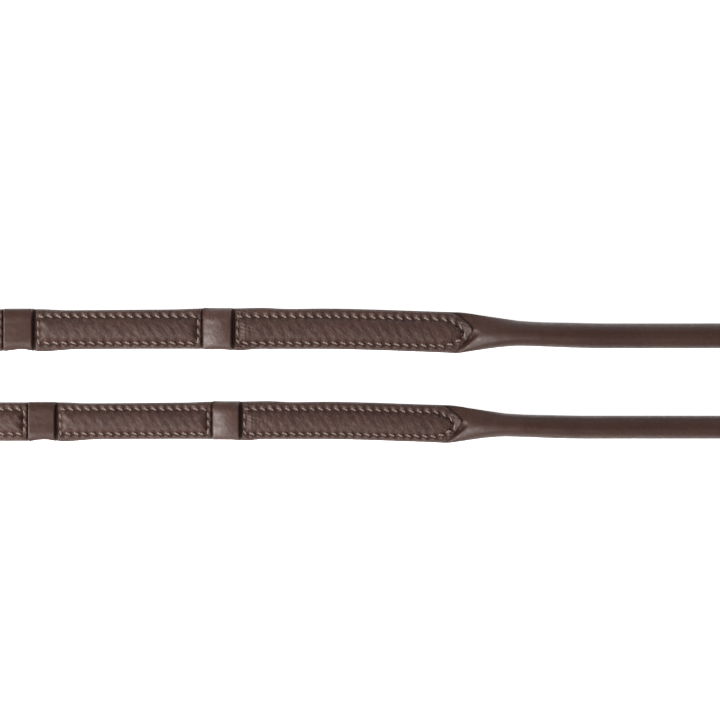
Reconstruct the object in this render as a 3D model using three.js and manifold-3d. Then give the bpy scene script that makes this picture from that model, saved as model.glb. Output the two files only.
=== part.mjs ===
// A pair of leather riding reins, laid out flat and side by side.
// Each rein runs from its centre end (buckle or punched tip, at -X) through a padded grip with
// two hand stops to a rolled section that ends in a hook-stud billet. The two rolled sections are
// folded back together, one round the other, and tied.
// Units are millimetres, +X runs towards the bit, +Z is up and the reins rest on Z = 0.
import * as THREE from 'three';
import { mergeVertices } from 'three/addons/utils/BufferGeometryUtils.js';
import Module from 'manifold-3d';

const wasm = await Module();
wasm.setup();

// ---- driving dimensions -------------------------------------------------------------------

const REIN_SPACING = 41.2;        // between the two flat centrelines
const SMALL_SCALE = 0.925;        // the right rein is this much smaller than the left one
const SCALE_X = -12.9;            // the two reins line up here
const GAP = 0.3;                  // clearance between pieces that touch

const LINING = { width: 17.4, bottom: 1.3, thick: 2.2, notchWidth: 14.4 };
const LINING_TOP = LINING.bottom + LINING.thick;
const COVER = { width: 17.4, margin: 1.4, edgeWidth: 2.5, crown: 3.4, cavity: 9.2, hollow: 1.7 };
const STOP = { width: 17.9, height: 7.4, wall: 1.0, corner: 1.6 };

// Grip stations along a rein: [start, end] of each padded panel and of each hand stop.
const PANELS = [[-236, -161.2], [-144.9, -72], [-54.9, 51.8]];
const STOPS = [[-159.8, -147.2], [-70.7, -58.5]];
const POINT_LENGTH = 8.6;         // of the pointed end of an outer panel
const NECK_START = 40.4;
const NECK_END = 81;

const ROLL = { radius: 5.5, bore: 3.4, core: 3.0, sides: 8, steps: 60 };
const ROLL_SHIFT = -3.2;          // the rolled section's axis lies beside the flat centreline
const ROLL_REST = 5.6;            // axis height where it lies on the ground
const ROLL_LIFTED = 6.9;          // axis height at the neck, the tie and the billet
const TIE = { x: 323.5, y: -33.9, halfWidth: 24.2, halfHeight: 6.9, length: 8, wall: 1 };

const BILLET = { width: 14, thick: 2.6, low: 2.8, high: 6.4, root: 255.4, tip: 252 };
const EYE = { x: 188, radius: 6.4 };          // the loop that holds the bit ring, at mid-strap
const STUD = { x: 214, shank: 2, head: 3.6, flange: 4, hole: 2.5 };
const BILLET_PLACE = { left: [-13, -74.8], right: [0, -18] };   // on its rein, along and across
const KEEPER = { wall: 1.1, length: 8 };

const TAIL = { width: 16, thick: 2.4, level: 2.65, raised: 5.6, under: 2.7 };
const FOLD_X = -251.9;            // axis on which a tail folds up
const LINING_END = FOLD_X + 1.5;
const TAIL_START = FOLD_X - 1;
const TAIL_TIP = -486;
const BAR = { x: -481, z: 6, radius: 1.7 };
const BUCKLE = { width: 26, arm: 3, thick: 3, end: -504.5, heel: -478.2 };
const TONGUE = { width: 3.2, thick: 1.8, ring: 3.4, bore: 2.0 };
const SLOT = { width: 4.4, start: -487, end: -473.5 };
const HOLES = { radius: 2.3, first: -464, pitch: 20, count: 5 };

// ---- materials ----------------------------------------------------------------------------

const finish = (color, roughness, metalness = 0) => ({ color, roughness, metalness });
const LOOK = {
  grained: finish(0x50392f, 0.52),
  smooth: finish(0x55402f, 0.38),
  rolled: finish(0x4a3329, 0.4),
  flesh: finish(0x5f4534, 0.8),
  felt: finish(0x6b6258, 0.95),
  cord: finish(0xa89274, 0.9),
  steel: finish(0xc9c8c4, 0.22, 1),
};

// ---- geometry helpers ---------------------------------------------------------------------

const vec2 = (points) => points.map(([x, y]) => new THREE.Vector2(x, y));
const outline = (points) => new THREE.Shape(vec2(points));

// A shape drawn in Y and Z, extruded along X.
function alongX(shape, start, end) {
  const solid = new THREE.ExtrudeGeometry(shape, { depth: end - start, bevelEnabled: false });
  const basis = new THREE.Matrix4().set(0, 0, 1, start, 1, 0, 0, 0, 0, 1, 0, 0, 0, 0, 0, 1);
  return solid.applyMatrix4(basis);
}

// A shape drawn in X and Z, extruded across Y and centred on the rein.
function acrossY(shape, width) {
  const solid = new THREE.ExtrudeGeometry(shape, { depth: width, bevelEnabled: false });
  const basis = new THREE.Matrix4().set(1, 0, 0, 0, 0, 0, -1, width / 2, 0, 1, 0, 0, 0, 0, 0, 1);
  return solid.applyMatrix4(basis);
}

// A shape drawn in X and Y, extruded upwards.
function upwards(shape, bottom, top) {
  const solid = new THREE.ExtrudeGeometry(shape, { depth: top - bottom, bevelEnabled: false });
  return solid.translate(0, 0, bottom);
}

function toSolid(geometry) {
  const bare = geometry.clone();
  bare.deleteAttribute('normal');
  bare.deleteAttribute('uv');
  const merged = mergeVertices(bare, 1e-4);
  return new wasm.Manifold(new wasm.Mesh({
    numProp: 3,
    vertProperties: Float32Array.from(merged.attributes.position.array),
    triVerts: Uint32Array.from(merged.index.array),
  }));
}

function toGeometry(solid) {
  const mesh = solid.getMesh();
  const geometry = new THREE.BufferGeometry();
  geometry.setAttribute('position', new THREE.BufferAttribute(mesh.vertProperties.slice(), 3));
  geometry.setIndex(new THREE.BufferAttribute(mesh.triVerts.slice(), 1));
  geometry.computeVertexNormals();
  return geometry;
}

const cut = (geometry, tool) => toGeometry(toSolid(geometry).subtract(toSolid(tool)));
const join = (first, second) => toGeometry(toSolid(first).add(toSolid(second)));
const common = (first, second) => toGeometry(toSolid(first).intersect(toSolid(second)));

function block(x0, x1, width, z0, z1) {
  const box = new THREE.BoxGeometry(x1 - x0, width, z1 - z0);
  return box.translate((x0 + x1) / 2, 0, (z0 + z1) / 2);
}

function roundedRect(halfWidth, bottom, top, corner) {
  const shape = new THREE.Shape();
  shape.moveTo(-halfWidth + corner, bottom);
  shape.lineTo(halfWidth - corner, bottom);
  shape.quadraticCurveTo(halfWidth, bottom, halfWidth, bottom + corner);
  shape.lineTo(halfWidth, top - corner);
  shape.quadraticCurveTo(halfWidth, top, halfWidth - corner, top);
  shape.lineTo(-halfWidth + corner, top);
  shape.quadraticCurveTo(-halfWidth, top, -halfWidth, top - corner);
  shape.lineTo(-halfWidth, bottom + corner);
  shape.quadraticCurveTo(-halfWidth, bottom, -halfWidth + corner, bottom);
  return shape;
}

// A loop of strap around other straps: a rounded ring with a plain rectangular opening.
function loopBand(x0, x1, halfWidth, bottom, top, wall, corner = 1.2) {
  const ring = roundedRect(halfWidth, bottom, top, corner);
  const inner = [
    [-halfWidth + wall, bottom + wall],
    [-halfWidth + wall, top - wall],
    [halfWidth - wall, top - wall],
    [halfWidth - wall, bottom + wall],
  ];
  ring.holes.push(new THREE.Path(vec2(inner)));
  return alongX(ring, x0, x1);
}

// The outline of a strap seen from its edge: both sides of a centreline of points.
function ribbon(points, thickness) {
  const line = vec2(points);
  const sides = [[], []];
  line.forEach((point, i) => {
    const before = line[Math.max(i - 1, 0)];
    const after = line[Math.min(i + 1, line.length - 1)];
    const along = after.clone().sub(before).normalize();
    const across = new THREE.Vector2(-along.y, along.x).multiplyScalar(thickness / 2);
    sides[0].push(point.clone().add(across));
    sides[1].unshift(point.clone().sub(across));
  });
  return new THREE.Shape([...sides[0], ...sides[1]]);
}

// Points of an arc about (x, z), with the angles in degrees.
function arc(x, z, radius, from, to, count) {
  return Array.from({ length: count }, (_, i) => {
    const angle = THREE.MathUtils.degToRad(from + ((to - from) * i) / (count - 1));
    return [x + radius * Math.cos(angle), z + radius * Math.sin(angle)];
  });
}

// A closed body through cross-sections { x, y, half, bottom, top, power }, all square to X.
function loft(sections, sides = 16) {
  const positions = [];
  const index = [];
  const bend = (value, power) => Math.sign(value) * Math.abs(value) ** (2 / power);
  for (const { x, y, half, bottom, top, power } of sections) {
    for (let i = 0; i < sides; i += 1) {
      const angle = ((i + 0.5) / sides) * 2 * Math.PI;
      const middle = (top + bottom) / 2;
      positions.push(x, y + half * bend(Math.cos(angle), power));
      positions.push(middle + (top - middle) * bend(Math.sin(angle), power));
    }
  }
  for (let s = 0; s + 1 < sections.length; s += 1) {
    for (let i = 0; i < sides; i += 1) {
      const a = s * sides + i;
      const b = s * sides + ((i + 1) % sides);
      index.push(a, b, b + sides, a, b + sides, a + sides);
    }
  }
  const last = (sections.length - 1) * sides;
  for (let i = 1; i + 1 < sides; i += 1) {
    index.push(0, i + 1, i, last, last + i, last + i + 1);
  }
  const geometry = new THREE.BufferGeometry();
  geometry.setAttribute('position', new THREE.Float32BufferAttribute(positions, 3));
  const risesAlongX = sections.at(-1).x > sections[0].x;
  geometry.setIndex(risesAlongX ? index : flipped(index));
  geometry.computeVertexNormals();
  return geometry;
}

function flipped(index) {
  const turned = [];
  for (let i = 0; i < index.length; i += 3) {
    turned.push(index[i], index[i + 2], index[i + 1]);
  }
  return turned;
}

function piece(name, geometry, look) {
  const mesh = new THREE.Mesh(geometry, new THREE.MeshStandardMaterial(look));
  mesh.name = name;
  return mesh;
}

// ---- grip ---------------------------------------------------------------------------------

// The continuous leather under the grip, narrowed where each hand stop wraps round it.
function lining() {
  const half = LINING.width / 2;
  const notch = LINING.notchWidth / 2;
  const side = [[LINING_END, half]];
  for (const [start, end] of STOPS) {
    side.push([start - 0.5, half], [start - 0.5, notch], [end + 0.5, notch], [end + 0.5, half]);
  }
  side.push([NECK_START - GAP, half]);
  const otherSide = side.map(([x, y]) => [x, -y]).reverse();
  return upwards(outline([...side, ...otherSide]), LINING.bottom, LINING_TOP);
}

// The padded top cover of a panel, open underneath for its filler.
function cover(start, end, pointed) {
  const base = LINING_TOP + GAP;
  const half = COVER.width / 2;
  const padHalf = half - COVER.edgeWidth;
  const hollow = COVER.cavity / 2;
  const section = outline([
    [half, base],
    [half, base + COVER.margin - 0.3],
    [padHalf, base + COVER.margin],
    [padHalf * 0.7, base + COVER.crown * 0.85],
    [0, base + COVER.crown],
    [-padHalf * 0.7, base + COVER.crown * 0.85],
    [-padHalf, base + COVER.margin],
    [-half, base + COVER.margin - 0.3],
    [-half, base],
    [-hollow, base],
    [-hollow, base + COVER.hollow],
    [hollow, base + COVER.hollow],
    [hollow, base],
  ]);
  const solid = alongX(section, start, end);
  if (!pointed) {
    return solid;
  }
  const tip = pointed > 0 ? end : start;
  const corner = tip - pointed * POINT_LENGTH;
  const butt = pointed > 0 ? start : end;
  const plan = outline([
    [butt - pointed, -half - 1],
    [corner, -half - 1],
    [corner, -half],
    [tip - pointed * POINT_LENGTH * 0.3, -half * 0.55],
    [tip, 0],
    [tip - pointed * POINT_LENGTH * 0.3, half * 0.55],
    [corner, half],
    [corner, half + 1],
    [butt - pointed, half + 1],
  ]);
  return common(solid, upwards(plan, base - 1, base + COVER.crown + 1));
}

function filler(start, end) {
  const inset = POINT_LENGTH + 1;
  const base = LINING_TOP + GAP;
  return block(start + inset, end - inset, COVER.cavity - 0.8, base, base + COVER.hollow - 0.4);
}

const stopBand = (start, end) =>
  loopBand(start, end, STOP.width / 2, 0, STOP.height, STOP.wall, STOP.corner);

function stopCore(start, end) {
  const width = STOP.width - 2 * STOP.wall - 0.8;
  return block(start + 0.6, end - 0.6, width, LINING_TOP + GAP, STOP.height - STOP.wall - GAP);
}

// ---- neck and rolled section --------------------------------------------------------------

function neck() {
  const low = LINING.bottom;
  const top = LINING_TOP;
  const { radius } = ROLL;
  return loft([
    { x: NECK_START, y: 0, half: 8.3, bottom: low, top, power: 5 },
    { x: 52, y: -0.4, half: 7.8, bottom: low, top, power: 5 },
    { x: 59.4, y: -1.6, half: 7.0, bottom: low, top: 5.8, power: 3.2 },
    { x: 64.8, y: -2.3, half: 6.3, bottom: low, top: 8.0, power: 2.6 },
    { x: 70.2, y: -2.8, half: 5.85, bottom: low, top: 10.2, power: 2.2 },
    { x: 75.6, y: -3.1, half: 5.6, bottom: low, top: 11.8, power: 2 },
    { x: NECK_END, y: ROLL_SHIFT, half: radius, bottom: low, top: low + 2 * radius, power: 2 },
  ]);
}

// Routes of the rolled sections: [along, across, height] in each rein's own space. The left one
// lies outside the right one, through the tie, round the fold and back to its billet.
const ROUTES = {
  left: [
    [81.3, -3.2, 6.9], [98, -3.2, 6.4], [114.7, -3.2, 5.8], [131.4, -3.2, 5.6], [148.1, -3.2, 5.6],
    [164.8, -3.2, 5.6], [181.5, -3.7, 5.6], [198.2, -5, 5.6], [214.8, -7, 5.6], [231.3, -9.4, 5.6],
    [247.9, -11.9, 5.7], [264.4, -14.1, 5.9], [281, -15.9, 6.3], [297.7, -16.9, 6.7],
    [314.4, -17.2, 6.9], [331.1, -16.2, 6.7], [346.4, -10, 5.9], [359.4, 0.5, 5.6],
    [374.2, 8.1, 5.6], [390.8, 9.4, 5.6], [406.6, 4.4, 5.6], [419.4, -6.1, 5.6],
    [427.3, -20.7, 5.6], [429.2, -37.2, 5.6], [424.7, -53.2, 5.6], [414.5, -66.4, 5.6],
    [400.2, -74.7, 5.6], [383.7, -77.1, 5.6], [367.6, -73.1, 5.6], [354, -63.5, 5.6],
    [340.3, -54, 6.3], [324.1, -50.8, 6.9], [307.9, -54.4, 6.9], [293.5, -62.9, 6.9],
    [280.6, -71.9, 6.9], [269, -74.8, 6.9], [263, -74.8, 6.9],
  ],
  right: [
    [81.3, -3.2, 7], [98.7, -3.2, 6.6], [116, -3.2, 6.1], [133.4, -3.2, 5.7], [150.8, -3.2, 5.6],
    [168.1, -3.2, 5.6], [185.5, -3.1, 5.6], [202.8, -2.2, 5.6], [220.1, -0.4, 5.6],
    [237.3, 2.1, 5.6], [254.4, 5, 5.6], [271.5, 7.9, 5.7], [288.7, 10.5, 6], [306, 12.5, 6.4],
    [323.3, 13.6, 6.9], [340.6, 13.9, 7], [358, 14.7, 6.9], [374.7, 19.1, 6.3], [388.9, 28.9, 5.7],
    [403, 39.1, 5.6], [419.8, 42.7, 5.6], [436.2, 37.7, 5.6], [448.2, 25.4, 5.6], [452.9, 8.8, 5.6],
    [449, -7.9, 5.6], [437.5, -20.7, 5.6], [421.3, -26.4, 5.6], [404.3, -23.6, 5.6],
    [390.1, -13.8, 5.7], [376.1, -3.6, 6.2], [359.5, 1.4, 6.9], [342.2, 1.2, 7], [325.4, -3, 7],
    [309.5, -10, 7], [294, -16, 7], [282, -18, 7], [276, -18, 7],
  ],
};

function rolledTube(name, shape) {
  const points = ROUTES[name].map((point) => new THREE.Vector3(...point));
  const extrudePath = new THREE.CatmullRomCurve3(points);
  return new THREE.ExtrudeGeometry(shape, { steps: ROLL.steps, bevelEnabled: false, extrudePath });
}

const circlePoints = (radius, sides) => arc(0, 0, radius, 0, 360 - 360 / sides, sides);

function rolledLeather(name) {
  const shape = outline(circlePoints(ROLL.radius, ROLL.sides));
  shape.holes.push(new THREE.Path(vec2(circlePoints(ROLL.bore, ROLL.sides).reverse())));
  return rolledTube(name, shape);
}

const cordCore = (name) => rolledTube(name, outline(circlePoints(ROLL.core, ROLL.sides)));

// The strap tied round all four runs of the fold.
function foldTie() {
  const { x, y, halfWidth, halfHeight, length, wall } = TIE;
  const low = ROLL_LIFTED - halfHeight;
  const high = ROLL_LIFTED + halfHeight;
  return loopBand(x - length / 2, x + length / 2, halfWidth, low, high, wall, 3).translate(0, y, 0);
}

// ---- billet -------------------------------------------------------------------------------

function billetNeck() {
  const { radius } = ROLL;
  const low = BILLET.low - BILLET.thick / 2;
  const top = BILLET.low + BILLET.thick / 2;
  const flat = BILLET.width / 2;
  const round = ROLL_LIFTED - radius;
  return loft([
    { x: 275.7, y: 0, half: radius, bottom: round, top: round + 2 * radius, power: 2 },
    { x: 268, y: 0, half: 6, bottom: low, top: 10.4, power: 2.3 },
    { x: 261, y: 0, half: 6.7, bottom: low, top: 6.4, power: 3 },
    { x: BILLET.root + GAP, y: 0, half: flat, bottom: low, top, power: 5 },
  ]);
}

function billetStrap() {
  const { low, high } = BILLET;
  const eyeZ = low + EYE.radius;
  const shape = ribbon([
    [BILLET.root, low],
    [200, low],
    ...arc(EYE.x, eyeZ, EYE.radius, -90, -270, 9),
    [191.8, 14.2], [195.2, 11.2], [198.6, 8.4], [203, 6.8], [208, high],
    [BILLET.tip, high],
  ], BILLET.thick);
  const hole = new THREE.CylinderGeometry(STUD.hole, STUD.hole, 4, 12);
  hole.rotateX(Math.PI / 2).translate(STUD.x, 0, high);
  return cut(acrossY(shape, BILLET.width), hole);
}

function hookStud() {
  const bottom = BILLET.low + BILLET.thick / 2 + 0.25;
  const neckTop = BILLET.high + BILLET.thick / 2 + 0.4;
  const profile = vec2([
    [0, bottom], [STUD.flange, bottom], [STUD.flange, bottom + 0.5],
    [STUD.shank, bottom + 0.5], [STUD.shank, neckTop], [STUD.head, neckTop + 0.3],
    [STUD.head, neckTop + 1.3], [STUD.head * 0.6, neckTop + 2.3], [0, neckTop + 2.7],
  ]);
  const stud = new THREE.LatheGeometry(profile, 16);
  return stud.rotateX(Math.PI / 2).translate(STUD.x, 0, 0);
}

function billetKeeper(start) {
  const low = BILLET.low - BILLET.thick / 2 - GAP - KEEPER.wall;
  const top = BILLET.high + BILLET.thick / 2 + GAP + KEEPER.wall;
  const half = BILLET.width / 2 + GAP + KEEPER.wall;
  return loopBand(start, start + KEEPER.length, half, low, top, KEEPER.wall);
}

function billet(name) {
  const group = new THREE.Group();
  group.position.set(...BILLET_PLACE[name], 0);
  group.add(piece(`${name}_billet_neck`, billetNeck(), LOOK.rolled));
  group.add(piece(`${name}_billet_strap`, billetStrap(), LOOK.smooth));
  group.add(piece(`${name}_hook_stud`, hookStud(), LOOK.steel));
  group.add(piece(`${name}_billet_fixed_keeper`, billetKeeper(243), LOOK.smooth));
  group.add(piece(`${name}_billet_runner_keeper`, billetKeeper(229), LOOK.smooth));
  return group;
}

// ---- centre ends --------------------------------------------------------------------------

// The buckle end: the strap rises, wraps round the buckle's bar and returns underneath.
function buckleTail() {
  const { level, raised, under } = TAIL;
  const turn = BAR.z - under;
  const shape = ribbon([
    [TAIL_START, level], [-402, level], [-410, 3.1], [-420, 4.6], [-430, 5.45],
    [-438, raised], [-466, raised], [-471, 6.5], [-476, 8.5],
    ...arc(BAR.x, BAR.z, turn, 90, 270, 9),
    [-474, under], [-433, under],
  ], TAIL.thick);
  const slot = block(SLOT.start, SLOT.end, SLOT.width, 0, 12);
  return cut(acrossY(shape, TAIL.width), slot);
}

function holedTail() {
  const half = TAIL.width / 2;
  const shape = outline([
    [TAIL_START, -half], [TAIL_START, half], [TAIL_TIP + 16, half], [TAIL_TIP + 7, half * 0.75],
    [TAIL_TIP + 1.5, half * 0.3], [TAIL_TIP, 0], [TAIL_TIP + 1.5, -half * 0.3],
    [TAIL_TIP + 7, -half * 0.75], [TAIL_TIP + 16, -half],
  ]);
  for (let i = 0; i < HOLES.count; i += 1) {
    const x = HOLES.first + i * HOLES.pitch;
    shape.holes.push(new THREE.Path(vec2(arc(x, 0, HOLES.radius, 330, 0, 12))));
  }
  return upwards(shape, TAIL.level - TAIL.thick / 2, TAIL.level + TAIL.thick / 2);
}

function buckleFrame() {
  const half = BUCKLE.width / 2;
  const inner = half - BUCKLE.arm;
  const { end, heel } = BUCKLE;
  const plate = upwards(outline([
    [heel, half], [end + 3, half], [end + 0.8, half - 0.8], [end, half - 3],
    [end, 3 - half], [end + 0.8, 0.8 - half], [end + 3, -half], [heel, -half],
    [heel, -inner], [end + 4, -inner], [end + 4, inner], [heel, inner],
  ]), BAR.z - BUCKLE.thick / 2, BAR.z + BUCKLE.thick / 2);
  const bar = new THREE.CylinderGeometry(BAR.radius, BAR.radius, 2 * inner + 2, 16);
  return join(plate, bar.translate(BAR.x, 0, BAR.z));
}

function buckleTongue() {
  const ring = outline(arc(BAR.x, BAR.z, TONGUE.ring, 0, 337.5, 16));
  ring.holes.push(new THREE.Path(vec2(arc(BAR.x, BAR.z, TONGUE.bore, 337.5, 0, 16))));
  const shank = ribbon(
    [[-483.3, 8.05], [-489, 9], [-497, 9.4], [-502, 9.3], [-506, 8.9]], TONGUE.thick);
  return join(acrossY(ring, TONGUE.width), acrossY(shank, TONGUE.width));
}

function tailKeeper(start) {
  const low = TAIL.under - TAIL.thick / 2 - GAP - KEEPER.wall;
  const top = TAIL.raised + TAIL.thick / 2 + GAP + KEEPER.wall;
  const half = TAIL.width / 2 + GAP + KEEPER.wall;
  return loopBand(start, start + KEEPER.length, half, low, top, KEEPER.wall);
}

// ---- assembly -----------------------------------------------------------------------------

function rein(name, side) {
  const group = new THREE.Group();
  const scale = side > 0 ? 1 : SMALL_SCALE;
  group.scale.setScalar(scale);
  group.position.set(SCALE_X * (1 - scale), (side * REIN_SPACING) / 2, 0);
  group.add(piece(`${name}_grip_lining`, lining(), LOOK.flesh));
  PANELS.forEach(([start, end], i) => {
    const pointed = [-1, 0, 1][i];
    group.add(piece(`${name}_grip_panel_${i + 1}`, cover(start, end, pointed), LOOK.grained));
    group.add(piece(`${name}_panel_filler_${i + 1}`, filler(start, end), LOOK.felt));
  });
  STOPS.forEach(([start, end], i) => {
    group.add(piece(`${name}_hand_stop_${i + 1}`, stopBand(start, end), LOOK.smooth));
    group.add(piece(`${name}_hand_stop_core_${i + 1}`, stopCore(start, end), LOOK.flesh));
  });
  group.add(piece(`${name}_neck`, neck(), LOOK.rolled));
  group.add(piece(`${name}_rolled_leather`, rolledLeather(name), LOOK.rolled));
  group.add(piece(`${name}_rolled_core`, cordCore(name), LOOK.cord));
  group.add(billet(name));
  return group;
}

const left = rein('left', 1);
left.add(piece('fold_tie', foldTie(), LOOK.smooth));
left.add(piece('left_buckle_strap', buckleTail(), LOOK.smooth));
left.add(piece('buckle_fixed_keeper', tailKeeper(-464), LOOK.smooth));
left.add(piece('buckle_runner_keeper', tailKeeper(-451), LOOK.smooth));
left.add(piece('buckle_frame', buckleFrame(), LOOK.steel));
left.add(piece('buckle_tongue', buckleTongue(), LOOK.steel));

const right = rein('right', -1);
right.add(piece('right_tip_strap', holedTail(), LOOK.smooth));

// The origin is the middle of the reins' footprint, without the rolled sections and their ends.
const group = new THREE.Group();
group.add(left, right);
const ON_CORD = /rolled|tie|billet|stud/;
const footprint = new THREE.Box3();
group.updateMatrixWorld(true);
group.traverse((mesh) => {
  if (mesh.isMesh && !ON_CORD.test(mesh.name)) {
    footprint.expandByObject(mesh);
  }
});
const middle = footprint.getCenter(new THREE.Vector3());
group.position.set(-middle.x, -middle.y, -footprint.min.z);

export default group;
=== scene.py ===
"""Leather reins: a pair of padded, stitched riding reins with hand stops and rolled bit ends.

Each rein is built in its own strap space, in millimetres: x runs along the rein towards the
bit, y across it and z up. Rein.place() turns those points into metres in the frame.
"""
import math

import bmesh
import bpy
import numpy as np
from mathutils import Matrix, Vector


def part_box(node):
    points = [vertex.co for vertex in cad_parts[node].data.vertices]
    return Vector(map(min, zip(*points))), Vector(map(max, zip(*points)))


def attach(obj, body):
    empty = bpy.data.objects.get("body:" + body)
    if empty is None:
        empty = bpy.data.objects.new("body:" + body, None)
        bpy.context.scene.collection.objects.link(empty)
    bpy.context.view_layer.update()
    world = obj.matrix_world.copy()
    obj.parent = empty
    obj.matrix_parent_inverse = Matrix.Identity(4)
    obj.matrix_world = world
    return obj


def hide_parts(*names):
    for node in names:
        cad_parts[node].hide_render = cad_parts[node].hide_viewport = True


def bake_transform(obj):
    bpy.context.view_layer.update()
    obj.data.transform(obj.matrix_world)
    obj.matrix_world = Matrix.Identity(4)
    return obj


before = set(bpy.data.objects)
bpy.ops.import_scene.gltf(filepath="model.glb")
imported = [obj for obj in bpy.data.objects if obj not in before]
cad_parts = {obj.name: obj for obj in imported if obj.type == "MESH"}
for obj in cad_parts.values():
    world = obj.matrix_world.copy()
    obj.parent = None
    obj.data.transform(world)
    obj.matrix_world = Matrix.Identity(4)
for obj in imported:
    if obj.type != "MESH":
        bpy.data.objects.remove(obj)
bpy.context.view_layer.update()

MM = 0.001
SCALES = {"left": 1.0, "right": 0.925}
NECK_START = 40.4
ROLL_RADIUS = 5.5
ROLL_SHIFT = -3.2
ROLL_LIFTED = 6.9
PANELS = [(-236.0, -160.4), (-145.8, -71.2), (-56.4, 50.4)]
POINTED = [-1, 0, 1]                                 # which end of a panel is pointed
STOPS = [(-159.9, -146.3), (-70.7, -57.0)]
FOLD_X, FOLD_Z = -251.9, 2.65     # a spot near a tail's start, in x and z; the two points worked out round it below are not used
FOLD_REACH = 5.0                  # how far those two points lie on each side of it
PITCH = 4.0                                          # from one stitch to the next


def smooth_step(t):
    t = np.clip(t, 0.0, 1.0)
    return t * t * (3 - 2 * t)


def curve_through(xs, ys):
    """A smooth function through a few points, without overshoot and flat beyond them."""
    xs, ys = np.array(xs, float), np.array(ys, float)
    steps = np.diff(ys) / np.diff(xs)
    before, after = steps[:-1], steps[1:]
    same_way = before * after > 0
    slopes = np.zeros(len(xs))
    slopes[1:-1][same_way] = 2 * (before * after)[same_way] / (before + after)[same_way]

    def value(x):
        x = np.clip(np.asarray(x, float), xs[0], xs[-1])
        i = np.clip(np.searchsorted(xs, x) - 1, 0, len(xs) - 2)
        width = xs[i + 1] - xs[i]
        t = (x - xs[i]) / width
        start = ys[i] + (ys[i + 1] - ys[i]) * smooth_step(t)
        return start + width * t * (1 - t) * (slopes[i] * (1 - t) - slopes[i + 1] * t)

    return value


class Rein:
    def __init__(self, name):
        self.name = name
        self.scale = SCALES[name]
        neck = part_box(f"{name}_neck")
        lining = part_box(f"{name}_grip_lining")
        self.x = neck[0][0] - NECK_START * MM * self.scale
        self.y = (lining[0][1] + lining[1][1]) / 2

    def place(self, points):
        out = np.array(points, float).reshape(-1, 3) * (MM * self.scale)
        out[:, 0] += self.x
        out[:, 1] += self.y
        return out


REINS = {name: Rein(name) for name in SCALES}


# ---- camera -------------------------------------------------------------------------------

VIEW_WIDTH = 0.324               # metres seen across the picture
VIEW_ABOVE_LEFT = -0.0140        # from the left rein's centreline to the middle of the view
CAMERA_HEIGHT = 1.6

camera_data = bpy.data.cameras.new("camera")
camera = bpy.data.objects.new("camera", camera_data)
bpy.context.scene.collection.objects.link(camera)
bpy.context.scene.camera = camera
camera_data.sensor_width = 36
camera_data.lens = 36 * CAMERA_HEIGHT / VIEW_WIDTH
camera.location = (REINS["left"].x, REINS["left"].y + VIEW_ABOVE_LEFT, CAMERA_HEIGHT)


# ---- meshes -------------------------------------------------------------------------------

def new_mesh(name, points, faces, material, sharp=50):
    mesh = bpy.data.meshes.new(name)
    mesh.from_pydata([tuple(p) for p in points], [], [tuple(int(i) for i in f) for f in faces])
    mesh.materials.append(material)
    mesh.shade_smooth()
    mesh.set_sharp_from_angle(angle=math.radians(sharp))
    mesh.update()
    obj = bpy.data.objects.new(name, mesh)
    bpy.context.scene.collection.objects.link(obj)
    return obj


def grid_faces(rows, columns, start=0, close_rows=False, flip=False):
    """Quads between rows of points, each row a closed loop."""
    faces = []
    for r in range(rows if close_rows else rows - 1):
        a, b = start + r * columns, start + ((r + 1) % rows) * columns
        for c in range(columns):
            d = (c + 1) % columns
            quad = (a + c, a + d, b + d, b + c)
            faces.append(quad[::-1] if flip else quad)
    return faces


def loft(name, rings, material, rein=None, sharp=50):
    """A closed body through rings of points, with its two ends capped."""
    rings = np.array(rings, float)
    rows, columns = rings.shape[:2]
    faces = grid_faces(rows, columns)
    faces.append(tuple(range(columns))[::-1])
    faces.append(tuple(range((rows - 1) * columns, rows * columns)))
    points = rings.reshape(-1, 3)
    points = rein.place(points) if rein else points
    obj = new_mesh(name, points, faces, material, sharp)
    fix_normals(obj)
    return obj


def shell(name, outer, inner, material, rein=None, closed=False, sharp=50):
    """A body between outer and inner rings: a pipe, or a ring when closed."""
    outer, inner = np.array(outer, float), np.array(inner, float)
    rows, columns = outer.shape[:2]
    count = rows * columns
    faces = grid_faces(rows, columns, 0, closed)
    faces += grid_faces(rows, columns, count, closed, flip=True)
    if not closed:
        for c in range(columns):
            d = (c + 1) % columns
            faces.append((c, d, count + d, count + c)[::-1])
            last = (rows - 1) * columns
            faces.append((last + c, last + d, count + last + d, count + last + c))
    points = np.concatenate([outer.reshape(-1, 3), inner.reshape(-1, 3)])
    points = rein.place(points) if rein else points
    obj = new_mesh(name, points, faces, material, sharp)
    fix_normals(obj)
    return obj


def fix_normals(obj):
    mesh = bmesh.new()
    mesh.from_mesh(obj.data)
    bmesh.ops.recalc_face_normals(mesh, faces=mesh.faces)
    mesh.to_mesh(obj.data)
    mesh.free()
    obj.data.update()


def join(name, objects, sharp=40):
    """One object from several, keeping the first one's material."""
    points, faces, at = [], [], 0
    for obj in objects:
        points += [v.co[:] for v in obj.data.vertices]
        faces += [[at + i for i in p.vertices] for p in obj.data.polygons]
        at = len(points)
    material = objects[0].data.materials[0]
    for obj in objects:
        bpy.data.meshes.remove(obj.data)
    return new_mesh(name, points, faces, material, sharp)


def cut_out(obj, tools):
    """Cuts the tools' shapes out of an object."""
    tool = join(obj.name + "_tool", tools)
    modifier = obj.modifiers.new("cut", "BOOLEAN")
    modifier.operation = "DIFFERENCE"
    modifier.solver = "EXACT"
    modifier.object = tool
    bpy.context.view_layer.update()
    depsgraph = bpy.context.evaluated_depsgraph_get()
    mesh = bpy.data.meshes.new_from_object(obj.evaluated_get(depsgraph))
    obj.modifiers.clear()
    old = obj.data
    obj.data = mesh
    bpy.data.meshes.remove(old)
    bpy.data.meshes.remove(tool.data)
    mesh.shade_smooth()
    mesh.set_sharp_from_angle(angle=math.radians(40))
    return obj


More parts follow.
